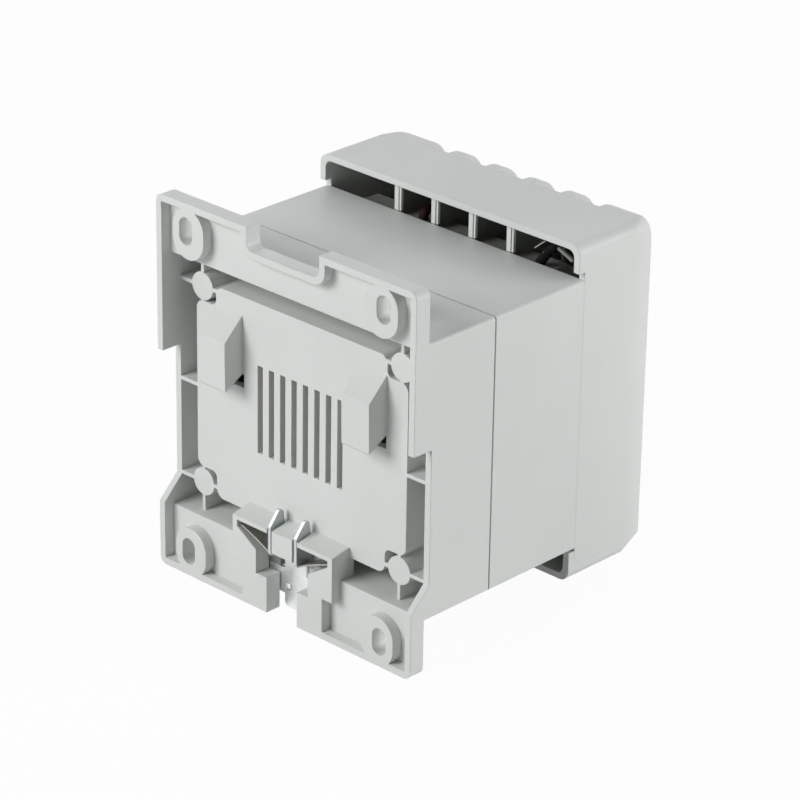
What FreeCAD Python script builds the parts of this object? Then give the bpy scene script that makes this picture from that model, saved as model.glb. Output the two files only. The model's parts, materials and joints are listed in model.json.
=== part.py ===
import FreeCAD, Part
import os
from types import SimpleNamespace

import Sketcher

# Transformer in a moulded housing for a 35 mm rail. Lengths are in millimetres.
# X runs across the housing, Z up, and the rear that faces the rail looks along +Y.
# Every depth below is measured forward from the rear rim of the mounting flange.

SIZES = {
    # Housing
    "case_width": 88.0,
    "body_bottom": 14.45,
    "body_height": 72.75,
    "body_wall": 1.85,
    "body_edge_radius": 0.8,
    "base_depth": 27.1,
    "middle_depth": 31.8,
    "cover_depth": 30.5,
    "seam_groove": 0.45,
    "seam_groove_depth": 1.1,
    # Mounting flange
    "flange_rise": 14.0,
    "flange_depth": 4.5,
    "tray_depth": 2.9,
    "rim_width": 1.85,
    "flange_corner": 2.2,
    "mount_inset_x": 10.5,
    "mount_bottom_z": 6.7,
    "mount_top_inset": 7.3,
    "mount_slot_width": 4.5,
    "mount_slot_length": 7.2,
    "mount_boss_width": 10.9,
    "mount_boss_length": 13.2,
    "mount_boss_inset": 0.8,
    "upper_boss_drop": 0.7,
    "notch_width": 24.6,
    "notch_drop": 6.0,
    "notch_wall": 1.9,
    "notch_radius": 2.0,
    # Rail seat: pad, side steps and hooks
    "pad_depth": 6.03,
    "pad_wall": 2.0,
    "pad_side_gap": 5.95,
    "pad_low_gap": 5.2,
    "pad_high_gap": 6.35,
    "pad_corner": 2.4,
    "pad_notch_corner": 1.6,
    "pad_notch_x": 6.9,
    "pad_notch_z": 5.3,
    "rail_bottom": 23.6,
    "rail_top": 59.5,
    "well_floor": 2.0,
    "rib": 1.0,
    "side_rib_z": 50.3,
    "boss_diameter": 7.4,
    "hook_inner_x": 20.0,
    "hook_width": 9.2,
    "hook_top_gap": 5.0,
    "hook_slope": 5.8,
    "hook_nose_drop": 4.3,
    "hook_root_drop": 1.1,
    "hook_lip": 0.2,
    "hook_window_drop": 3.65,
    "hook_window_side": 0.6,
    "vent_count": 8,
    "vent_spacing": 3.93,
    "vent_width": 1.8,
    "vent_bottom": 38.8,
    "vent_height": 23.6,
    # Latch housing
    "clip_width": 34.8,
    "clip_foot_width": 28.0,
    "clip_foot_height": 11.0,
    "clip_top": 23.1,
    "clip_roof_rise": 1.3,
    "clip_roof": 1.1,
    "clip_back_wall": 1.6,
    "clip_window_width": 31.6,
    "clip_window_shoulder": 20.2,
    "clip_throat_width": 18.2,
    "clip_throat_top": 16.1,
    "clip_ledge": 9.6,
    "clip_slot_width": 10.6,
    "tongue_width": 7.1,
    "tongue_bottom": 17.1,
    "tongue_depth": 1.4,
    # Sprung latch
    "latch_sheet": 0.85,
    "latch_gap": 0.35,
    "latch_width": 17.4,
    "latch_shoulder": 15.2,
    "latch_foot_shoulder": 4.5,
    "latch_foot_width": 7.6,
    "latch_bottom": 0.3,
    "latch_top_gap": 0.5,
    "latch_foot_corner": 1.0,
    "latch_hole_width": 5.2,
    "latch_hole_bottom": 5.6,
    "latch_hole_height": 2.0,
    "ear_outer_x": 4.85,
    "ear_bottom": 15.7,
    "ear_knee": 24.2,
    "ear_tip": 27.5,
    "ear_tip_depth": 3.9,
    "ear_tip_width": 0.8,
    "ear_tip_slope": 0.15,
    "ear_knee_drop": 0.3,
    "spring_leaf": 0.5,
    "spring_width": 2.4,
    "spring_start": 1.9,
    "spring_sag": 2.3,
    "spring_end_gap": 0.3,
    "spring_gap": 0.3,
    "spring_flat": 0.4,
    # Front cover
    "cover_top_rise": 9.45,
    "cover_bottom_drop": 8.45,
    "hood_overhang": 2.1,
    "hood_lip": 2.1,
    "cover_wall": 1.8,
    "hood_wall": 1.7,
    "hood_radius": 2.8,
    "hood_inner_radius": 2.0,
    "front_wall": 1.8,
    "bevel_depth": 11.4,
    "bevel_width": 4.3,
    "top_round": 9.0,
    "bottom_round": 2.5,
    "pole_spacing": 12.7,
    "pole_count": 5,
    "post_width": 1.4,
    "post_depth": 1.1,
    "recess_width": 9.3,
    "recess_length": 9.8,
    "recess_drop": 10.65,
    "recess_floor": 2.0,
    "recess_rear_wall": 1.6,
    "driver_hole": 6.2,
    "tongue_height": 22.0,
    "tongue_reach": 5.0,
    "tongue_wall": 1.5,
    "seam_gap": 0.15,
    # Laminated core
    "core_side_gap": 2.15,
    "core_end_gap": 1.03,
    "core_stack": 32.0,
    "core_hole": 4.6,
    # Housing screws
    "screw_side_gap": 8.05,
    "screw_end_inset": 7.8,
    "screw_diameter": 4.0,
    "screw_fit": 0.1,
    "screw_head": 7.0,
    "screw_head_height": 3.0,
    "screw_end_gap": 0.5,
    "screw_cap": 2.4,
    "lug_thickness": 2.5,
    "lug_width": 12.5,
    "lug_height": 13.5,
    # Bobbin and windings
    "bobbin_gap": 0.3,
    "bobbin_wall": 1.2,
    "bobbin_side_gap": 0.45,
    "bobbin_flange_lip": 0.2,
    "coil_side_gap": 1.6,
    "coil_rear_gap": 0.77,
    "primary_build": 5.0,
    "insulation_build": 0.4,
    "tape_build": 0.4,
    "winding_gap": 0.1,
    # Terminals
    "block_setback": 2.1,
    "block_height": 12.0,
    "funnel_top": 8.95,
    "funnel_length": 5.0,
    "divider_gap": 0.2,
    "screw_front_gap": 5.4,
    "cage_length": 5.0,
    "cage_width": 6.8,
    "cage_wall": 0.9,
    "cage_floor": 1.0,
    "cage_opening": 5.4,
    "cage_top": 2.0,
    "cage_gap": 0.3,
    "block_wall": 1.2,
    "bar_width": 4.6,
    "bar_thickness": 1.0,
    "bar_tail": 9.0,
    "terminal_screw": 3.0,
    "terminal_head": 5.2,
    "terminal_head_height": 2.0,
    "terminal_shank": 4.4,
    "head_drop": 1.0,
    "driver_slot": 0.8,
    "driver_slot_run": 0.5,
    "tag_gap": 0.6,
    "tag_slit_gap": 0.15,
    "tag_slit_run": 0.1,
    "lead_diameter": 1.8,
    "lead_inset": 1.8,
    # Drawing helps: how far a cut runs past a face, and how far joined shapes overlap
    "overcut": 1.0,
    "overlap": 0.5,
}

DOC = FreeCAD.newDocument("din_rail_transformer")
SHEET = DOC.addObject("Spreadsheet::Sheet", "sizes")
for row, (alias, number) in enumerate(SIZES.items(), start=1):
    SHEET.set(f"A{row}", alias)
    SHEET.set(f"B{row}", str(number))
    SHEET.setAlias(f"B{row}", alias)
DOC.recompute()


class Size:
    """A length that keeps its number beside the sheet formula it comes from."""

    def __init__(self, number, formula):
        self.number = float(number)
        self.formula = formula

    def joined(self, other, sign, number):
        return Size(number, f"({self.formula} {sign} {as_size(other).formula})")

    def __add__(self, other):
        return self.joined(other, "+", self.number + as_size(other).number)

    def __radd__(self, other):
        return as_size(other) + self

    def __sub__(self, other):
        return self.joined(other, "-", self.number - as_size(other).number)

    def __rsub__(self, other):
        return as_size(other) - self

    def __mul__(self, other):
        return self.joined(other, "*", self.number * as_size(other).number)

    def __rmul__(self, other):
        return as_size(other) * self

    def __truediv__(self, other):
        return self.joined(other, "/", self.number / as_size(other).number)

    def __neg__(self):
        return Size(-self.number, f"(-1 * {self.formula})")

    def __lt__(self, other):
        return self.number < as_size(other).number


def as_size(value):
    """A Size as it is, or a plain number made into one."""
    if isinstance(value, Size):
        return value
    return Size(value, repr(float(value)))


S = SimpleNamespace(**{name: Size(number, f"sizes.{name}") for name, number in SIZES.items()})

# Main lines of the housing, worked out from the sheet
HALF = S.case_width / 2
INNER_X = HALF - S.body_wall
BODY_TOP = S.body_bottom + S.body_height
INNER_BOTTOM = S.body_bottom + S.body_wall
INNER_TOP = BODY_TOP - S.body_wall
MIDDLE_Z = S.body_bottom + S.body_height / 2
MIDDLE_START = S.base_depth
COVER_START = S.base_depth + S.middle_depth
FRONT = COVER_START + S.cover_depth
FLANGE_TOP = BODY_TOP + S.flange_rise
OVERCUT = S.overcut
OVERLAP = S.overlap

# The core fills the housing's width, in the usual proportions of an E plate: outer leg,
# window and half of the centre leg are equally wide.
CORE_HALF = INNER_X - S.core_side_gap
CORE_LEG = CORE_HALF / 3
CORE_LOW = INNER_BOTTOM + S.core_end_gap
CORE_HIGH = INNER_TOP - S.core_end_gap
WINDOW_LOW = CORE_LOW + CORE_LEG
WINDOW_HIGH = CORE_HIGH - CORE_LEG

# The windings fill the core's window, and their bulge sets how deep the core sits
COIL_BUILD = CORE_LEG - S.coil_side_gap
BOBBIN_BUILD = S.bobbin_gap + S.bobbin_wall
SECONDARY_BUILD = COIL_BUILD - BOBBIN_BUILD - S.primary_build - S.insulation_build - S.tape_build
PAD_BACK = S.pad_depth + S.pad_wall
CORE_START = PAD_BACK + S.coil_rear_gap + COIL_BUILD
CORE_END = CORE_START + S.core_stack
WELL_DEPTH = CORE_START - S.well_floor
LUG_END = CORE_END + S.lug_thickness

PARTS = []


def plane(body, role):
    """The origin plane or axis of a body with this role."""
    for feature in body.Origin.OriginFeatures:
        if feature.Role == role:
            return feature
    raise ValueError(role)


def new_body(label):
    """A body placed so that the middle of the housing's depth is the frame's origin."""
    body = DOC.addObject("PartDesign::Body", label)
    body.Label = label
    body.setExpression("Placement.Base.y", (FRONT / 2).formula)
    PARTS.append(body)
    return body


def bind(sketch, kind, places, size):
    """Add one dimension to a sketch and bind it to its formula."""
    size = as_size(size)
    index = sketch.addConstraint(Sketcher.Constraint(kind, *places, size.number))
    sketch.setExpression(f"Constraints[{index}]", size.formula)


def draw_polygon(sketch, points):
    """A closed outline whose corners are each placed from the sketch's origin."""
    first = sketch.GeometryCount
    count = len(points)
    for place in range(count):
        here = points[place]
        there = points[(place + 1) % count]
        start = FreeCAD.Vector(here[0].number, here[1].number, 0)
        end = FreeCAD.Vector(there[0].number, there[1].number, 0)
        sketch.addGeometry(Part.LineSegment(start, end), False)
    for place in range(count):
        after = first + (place + 1) % count
        sketch.addConstraint(Sketcher.Constraint("Coincident", first + place, 2, after, 1))
    for place, (across, up) in enumerate(points):
        bind(sketch, "DistanceX", (-1, 1, first + place, 1), across)
        bind(sketch, "DistanceY", (-1, 1, first + place, 1), up)


def draw_circle(sketch, centre, diameter):
    """A circle placed from the sketch's origin."""
    across, up = centre
    middle = FreeCAD.Vector(across.number, up.number, 0)
    radius = diameter / 2
    index = sketch.addGeometry(
        Part.Circle(middle, FreeCAD.Vector(0, 0, 1), radius.number), False
    )
    bind(sketch, "DistanceX", (-1, 1, index, 3), across)
    bind(sketch, "DistanceY", (-1, 1, index, 3), up)
    bind(sketch, "Radius", (index,), radius)


def draw_slot(sketch, centre, width, length):
    """An upright slot with round ends, placed from the sketch's origin."""
    across, up = centre
    radius = width / 2
    reach = (length - width) / 2
    x, z, r, h = across.number, up.number, radius.number, reach.number
    turn = FreeCAD.Vector(0, 0, 1)
    top = Part.Circle(FreeCAD.Vector(x, z + h, 0), turn, r)
    bottom = Part.Circle(FreeCAD.Vector(x, z - h, 0), turn, r)
    half_turn = 3.141592653589793
    first = sketch.addGeometry(Part.ArcOfCircle(top, 0, half_turn), False)
    left = Part.LineSegment(FreeCAD.Vector(x - r, z + h, 0), FreeCAD.Vector(x - r, z - h, 0))
    sketch.addGeometry(left, False)
    sketch.addGeometry(Part.ArcOfCircle(bottom, half_turn, 2 * half_turn), False)
    right = Part.LineSegment(FreeCAD.Vector(x + r, z - h, 0), FreeCAD.Vector(x + r, z + h, 0))
    sketch.addGeometry(right, False)
    for place in range(4):
        after = first + (place + 1) % 4
        sketch.addConstraint(Sketcher.Constraint("Tangent", first + place, 2, after, 1))
    sketch.addConstraint(Sketcher.Constraint("Equal", first, first + 2))
    bind(sketch, "Radius", (first,), radius)
    for arc, height in ((first, up + reach), (first + 2, up - reach)):
        bind(sketch, "DistanceX", (-1, 1, arc, 3), across)
        bind(sketch, "DistanceY", (-1, 1, arc, 3), height)


# Views that outlines are drawn in. Each turns (a, b) of the object into sketch coordinates:
# "front" takes (x, z) and grows forward, "side" takes (depth, z) and grows along X,
# "plan" takes (x, depth) and grows upward.
VIEWS = {
    "front": ("XZ_Plane", 1, 1),
    "side": ("YZ_Plane", -1, 1),
    "plan": ("XY_Plane", 1, -1),
}


def in_view(view, point):
    """A point of the object in the sketch coordinates of a view."""
    across, up = as_size(point[0]), as_size(point[1])
    turn = VIEWS[view][1:]
    return (across if turn[0] > 0 else -across, up if turn[1] > 0 else -up)


def add_sketch(body, name, view, start, loops):
    """A sketch of closed outlines on the view's plane, moved out to start."""
    sketch = body.newObject("Sketcher::SketchObject", name)
    sketch.AttachmentSupport = (plane(body, VIEWS[view][0]), [""])
    sketch.MapMode = "FlatFace"
    sketch.setExpression("AttachmentOffset.Base.z", as_size(start).formula)
    for kind, *rest in loops:
        if kind == "polygon":
            draw_polygon(sketch, [in_view(view, point) for point in rest[0]])
        elif kind == "circle":
            draw_circle(sketch, in_view(view, rest[0]), as_size(rest[1]))
        else:
            draw_slot(sketch, in_view(view, rest[0]), rest[1], rest[2])
    return sketch


def grow(body, kind, name, view, start, end, loops):
    """A pad or pocket of these outlines from start to end."""
    start, end = as_size(start), as_size(end)
    if end < start:
        start, end = end, start
    sketch = add_sketch(body, name + "_outline", view, start, loops)
    feature = body.newObject(kind, name)
    feature.Profile = sketch
    feature.setExpression("Length", (end - start).formula)
    return feature


def pad(body, name, view, start, end, *loops):
    """Add material inside these outlines."""
    return grow(body, "PartDesign::Pad", name, view, start, end, loops)


def cut(body, name, view, start, end, *loops):
    """Take material away inside these outlines."""
    pocket = grow(body, "PartDesign::Pocket", name, view, start, end, loops)
    pocket.Reversed = True
    return pocket


def polygon(*points):
    return ("polygon", points)


def rectangle(left, right, low, high):
    return ("polygon", ((left, low), (right, low), (right, high), (left, high)))


def circle(across, up, diameter):
    return ("circle", (across, up), diameter)


def slot(across, up, width, length):
    return ("slot", (across, up), width, length)


def mirrored(loop):
    """The same outline on the other side of X = 0, in the front or plan view."""
    kind, places, *rest = loop
    if kind == "polygon":
        return (kind, tuple((-as_size(x), up) for x, up in places))
    return (kind, (-as_size(places[0]), places[1]), *rest)


def both(loop):
    """An outline and its mirror image."""
    return (loop, mirrored(loop))


def repeat(body, name, features, pitch, count):
    """Repeat features along X."""
    pattern = body.newObject("PartDesign::LinearPattern", name)
    pattern.Originals = features
    pattern.Direction = (plane(body, "X_Axis"), [""])
    pattern.setExpression("Length", (pitch * (count - 1)).formula)
    pattern.setExpression("Occurrences", as_size(count).formula)
    body.Tip = pattern
    return pattern


def is_one_of(value, wanted):
    return wanted is None or any(abs(value - as_size(w).number) < 0.03 for w in wanted)


def straight_edges(shape, axis, x=None, depth=None, z=None):
    """Names of the straight edges along an axis whose middles lie at these places."""
    names = []
    for index, edge in enumerate(shape.Edges, start=1):
        box = edge.BoundBox
        spans = {"x": box.XLength, "y": box.YLength, "z": box.ZLength}
        if abs(spans[axis] - edge.Length) > 1e-4:
            continue
        middle = box.Center
        if not is_one_of(abs(middle.x), x):
            continue
        if is_one_of(-middle.y, depth) and is_one_of(middle.z, z):
            names.append(f"Edge{index}")
    return names


def round_edges(body, name, radius, axis, x=None, depth=None, z=None):
    """Round the straight edges along an axis that lie at these places."""
    DOC.recompute()
    base = body.Tip
    names = straight_edges(base.Shape, axis, x, depth, z)
    if not names:
        raise RuntimeError(f"{body.Label}: no edge for {name}")
    fillet = body.newObject("PartDesign::Fillet", name)
    fillet.Base = (base, names)
    fillet.setExpression("Radius", as_size(radius).formula)
    return fillet


# Places that several pieces share
SCREW_X = INNER_X - S.screw_side_gap
SCREW_LOW = INNER_BOTTOM + S.screw_end_inset
SCREW_HIGH = INNER_TOP - S.screw_end_inset
HOOD_TOP = BODY_TOP + S.cover_top_rise
HOOD_BOTTOM = S.body_bottom - S.cover_bottom_drop
FIRST_POLE = -(S.pole_spacing * (S.pole_count - 1) / 2)
FIRST_POST = FIRST_POLE + S.pole_spacing / 2
POSTS = S.pole_count - 1
FLANGE_FRONT = S.flange_depth
LATCH_START = S.flange_depth + S.latch_gap
LATCH_END = LATCH_START + S.latch_sheet
CLIP_INNER_TOP = S.clip_top - S.clip_roof
PAD_HALF = INNER_X - S.pad_side_gap
PAD_LOW = INNER_BOTTOM + S.pad_low_gap
PAD_TOP = INNER_TOP - S.pad_high_gap
NOTCH_X = PAD_HALF - S.pad_notch_x
NOTCH_LOW = PAD_LOW + S.pad_notch_z + S.rib * 1.5
NOTCH_HIGH = PAD_TOP - S.pad_notch_z
FACE_HALF = HALF - S.bevel_width
BEVEL_START = FRONT - S.bevel_depth
RECESS_START = FRONT - S.recess_length
TERMINAL_SCREW = FRONT - S.screw_front_gap


def screw_circles(diameter):
    """Circles at the four housing screws, in the front view."""
    low = both(circle(SCREW_X, SCREW_LOW, diameter))
    high = both(circle(SCREW_X, SCREW_HIGH, diameter))
    return low + high


def stepped_outline(inset):
    """The pad's outline with its four notched corners, drawn in by an inset."""
    out_x = PAD_HALF - inset
    in_x = NOTCH_X - inset
    low = PAD_LOW + inset
    low_in = NOTCH_LOW + inset
    high = PAD_TOP - inset
    high_in = NOTCH_HIGH - inset
    right = (
        (in_x, low),
        (in_x, low_in),
        (out_x, low_in),
        (out_x, high_in),
        (in_x, high_in),
        (in_x, high),
    )
    left = tuple((-x, z) for x, z in reversed(right))
    return polygon(*right, *left)


def build_base_shell():
    """Mounting flange, rear half of the housing, rail hooks and the latch housing."""
    body = new_body("base_shell")
    top = FLANGE_TOP
    pad(body, "flange", "front", 0, FLANGE_FRONT, rectangle(-HALF, HALF, 0, top))
    round_edges(body, "flange_corners", S.flange_corner, "y", x=(HALF,), z=(0, top))
    pad(body, "walls", "front", 0, S.base_depth, rectangle(-HALF, HALF, S.body_bottom, BODY_TOP))
    round_edges(
        body, "wall_corners", S.body_edge_radius, "y", x=(HALF,), z=(S.body_bottom, BODY_TOP)
    )
    inside = rectangle(-INNER_X, INNER_X, INNER_BOTTOM, INNER_TOP)
    cut(body, "front_hollow", "front", CORE_START, S.base_depth, inside)
    cut(body, "rear_hollow", "front", 0, S.pad_depth, inside)
    cut(body, "well", "front", S.pad_depth, WELL_DEPTH, inside, stepped_outline(as_size(0)))
    round_pad_corners(body)
    rim = S.rim_width
    cut(
        body,
        "tray",
        "front",
        0,
        S.tray_depth,
        rectangle(-INNER_X, INNER_X, INNER_TOP, top - rim),
        rectangle(-INNER_X, INNER_X, rim, INNER_BOTTOM),
    )
    # The side walls step back where the rail passes, and run out at 45 degrees below it
    run_out = S.rail_bottom - S.pad_depth
    step = polygon(
        (-OVERCUT, S.rail_top),
        (S.pad_depth, S.rail_top),
        (S.pad_depth, S.rail_bottom),
        (0, run_out),
        (-OVERCUT, run_out),
    )
    cut(body, "rail_steps", "side", -HALF - OVERCUT, HALF + OVERCUT, step)
    build_mounting(body, top)
    build_well_ribs(body)
    cut(body, "chamber", "front", PAD_BACK, CORE_START, stepped_outline(S.pad_wall))
    hole = S.screw_diameter + S.screw_fit
    blind = S.pad_depth + S.screw_cap
    cut(body, "screw_holes", "front", blind, CORE_START, *screw_circles(hole))
    first = -(S.vent_spacing * (S.vent_count - 1) / 2)
    vent = cut(
        body,
        "vent",
        "front",
        S.pad_depth,
        PAD_BACK,
        rectangle(
            first - S.vent_width / 2,
            first + S.vent_width / 2,
            S.vent_bottom,
            S.vent_bottom + S.vent_height,
        ),
    )
    repeat(body, "vents", [vent], S.vent_spacing, S.vent_count)
    build_hooks(body)
    build_clip_housing(body)
    return body


def round_pad_corners(body):
    """Round the pad's outer corners, and the inner corners of its four notches."""
    high = (NOTCH_LOW, NOTCH_HIGH)
    ends = (PAD_LOW, PAD_TOP)
    round_edges(body, "pad_side_corners", S.pad_corner, "y", x=(PAD_HALF,), z=high)
    round_edges(body, "pad_end_corners", S.pad_corner, "y", x=(NOTCH_X,), z=ends)
    round_edges(body, "pad_notch_corners", S.pad_notch_corner, "y", x=(NOTCH_X,), z=high)


def build_mounting(body, top):
    """Slotted screw bosses in the flange's corners, and the notch in its top edge."""
    x = HALF - S.mount_inset_x
    low = S.mount_bottom_z
    high = top - S.mount_top_inset
    boss_x = x - S.mount_boss_inset
    width = S.mount_boss_width
    length = S.mount_boss_length
    bosses = both(slot(boss_x, low, width, length))
    bosses += both(slot(boss_x, high - S.upper_boss_drop, width, length))
    pad(body, "mounting_bosses", "front", 0, FLANGE_FRONT, *bosses)
    slots = both(slot(x, low, S.mount_slot_width, S.mount_slot_length))
    slots += both(slot(x, high, S.mount_slot_width, S.mount_slot_length))
    cut(body, "mounting_slots", "front", 0, FLANGE_FRONT, *slots)
    half = S.notch_width / 2
    floor = top - S.notch_drop
    wall = S.notch_wall
    around = rectangle(-half - wall, half + wall, floor - wall, top)
    pad(body, "notch_wall", "front", 0, FLANGE_FRONT, around)
    outer = S.notch_radius + wall
    round_edges(body, "notch_outer", outer, "y", x=(half + wall,), z=(floor - wall,))
    cut(body, "notch", "front", 0, FLANGE_FRONT, rectangle(-half, half, floor, top + OVERCUT))
    round_edges(body, "notch_inner", S.notch_radius, "y", x=(half,), z=(floor,))


def build_well_ribs(body):
    """Round screw bosses in the well, tied to its walls by thin crossed ribs."""
    floor = WELL_DEPTH
    start = S.pad_depth
    pad(body, "screw_bosses", "front", start, floor, *screw_circles(S.boss_diameter))
    thin = S.rib / 2
    left = SCREW_X - thin
    right = SCREW_X + thin
    upright = both(rectangle(left, right, NOTCH_HIGH - OVERLAP, INNER_TOP + OVERLAP))
    upright += both(rectangle(left, right, INNER_BOTTOM - OVERLAP, NOTCH_LOW + OVERLAP))
    pad(body, "upright_ribs", "front", start, floor, *upright)
    level = []
    for z in (SCREW_LOW, SCREW_HIGH):
        level += both(rectangle(NOTCH_X - OVERLAP, INNER_X + OVERLAP, z - thin, z + thin))
    z = S.side_rib_z
    level += both(rectangle(PAD_HALF - OVERLAP, INNER_X + OVERLAP, z - thin, z + thin))
    pad(body, "level_ribs", "front", start, floor, *level)


def build_hooks(body):
    """Two fixed hooks that hang on the rail's upper edge, each with its moulding window."""
    root = S.pad_depth + OVERLAP
    root_top = PAD_TOP - S.hook_top_gap
    root_bottom = S.rail_top - S.hook_root_drop
    profile = polygon(
        (root, root_top),
        (S.pad_depth, root_top),
        (0, root_top - S.hook_slope),
        (S.hook_lip, S.rail_top - S.hook_nose_drop),
        (S.pad_depth, root_bottom),
        (root, root_bottom),
    )
    inner = S.hook_inner_x
    outer = S.hook_inner_x + S.hook_width
    pad(body, "left_hook", "side", inner, outer, profile)
    pad(body, "right_hook", "side", -outer, -inner, profile)
    low = root_bottom - S.hook_window_drop
    window = both(rectangle(inner - S.hook_window_side, outer, low, root_bottom))
    cut(body, "hook_windows", "front", S.pad_depth, PAD_BACK, *window)


def build_clip_housing(body):
    """Raised housing at the bottom that guides the sprung latch."""
    half = S.clip_width / 2
    foot = S.clip_foot_width / 2
    back = S.pad_depth
    roof_end = S.clip_top + S.clip_roof_rise
    profile = polygon(
        (0, S.clip_foot_height),
        (0, S.clip_top),
        (back + OVERLAP, roof_end),
        (back + OVERLAP, S.body_bottom),
        (FLANGE_FRONT, S.body_bottom),
        (FLANGE_FRONT, S.clip_foot_height),
    )
    pad(body, "clip_block", "side", -half, half, profile)
    foot_outline = rectangle(-foot, foot, 0, S.clip_foot_height + OVERLAP)
    pad(body, "clip_foot", "front", 0, FLANGE_FRONT, foot_outline)
    back_wall = rectangle(-half, half, S.body_bottom, PAD_LOW + OVERLAP)
    pad(body, "clip_back", "front", back, back + S.clip_back_wall, back_wall)
    window = S.clip_window_width / 2
    throat = S.clip_throat_width / 2
    gap = S.clip_slot_width / 2
    tongue = S.tongue_width / 2
    above = roof_end + OVERCUT
    right = (
        (gap, -OVERCUT),
        (gap, S.clip_ledge),
        (throat, S.clip_ledge),
        (throat, S.clip_throat_top),
        (window, S.clip_window_shoulder),
        (window, CLIP_INNER_TOP),
        (gap, CLIP_INNER_TOP),
        (gap, above),
        (tongue, above),
        (tongue, S.tongue_bottom),
    )
    left = tuple((-x, z) for x, z in reversed(right))
    cut(body, "clip_window", "front", 0, back, polygon(*right, *left))
    reach = tongue + OVERLAP
    behind = rectangle(-reach, reach, S.tongue_bottom - OVERLAP, CLIP_INNER_TOP)
    cut(body, "tongue_relief", "front", S.tongue_depth, back, behind)


def build_middle_shell():
    """Plain ring between the base and the cover, with four lugs that clamp the core."""
    body = new_body("middle_shell")
    outer = rectangle(-HALF, HALF, S.body_bottom, BODY_TOP)
    pad(body, "block", "front", MIDDLE_START, COVER_START, outer)
    round_edges(
        body, "corners", S.body_edge_radius, "y", x=(HALF,), z=(S.body_bottom, BODY_TOP)
    )
    inside = rectangle(-INNER_X, INNER_X, INNER_BOTTOM, INNER_TOP)
    cut(body, "hollow", "front", MIDDLE_START, COVER_START, inside)
    inset = S.seam_groove_depth
    groove = rectangle(-HALF + inset, HALF - inset, S.body_bottom + inset, BODY_TOP - inset)
    clear = rectangle(
        -HALF - OVERCUT, HALF + OVERCUT, S.body_bottom - OVERCUT, BODY_TOP + OVERCUT
    )
    groove_end = MIDDLE_START + S.seam_groove
    cut(body, "seam_groove", "front", MIDDLE_START, groove_end, clear, groove)
    near = INNER_X - S.lug_width
    far = INNER_X + OVERLAP
    low = INNER_BOTTOM - OVERLAP
    high = INNER_TOP + OVERLAP
    lugs = both(rectangle(near, far, low, low + S.lug_height))
    lugs += both(rectangle(near, far, high - S.lug_height, high))
    pad(body, "lugs", "front", CORE_END, LUG_END, *lugs)
    cut(body, "lug_holes", "front", CORE_END, LUG_END, *screw_circles(S.core_hole))
    return body


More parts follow.
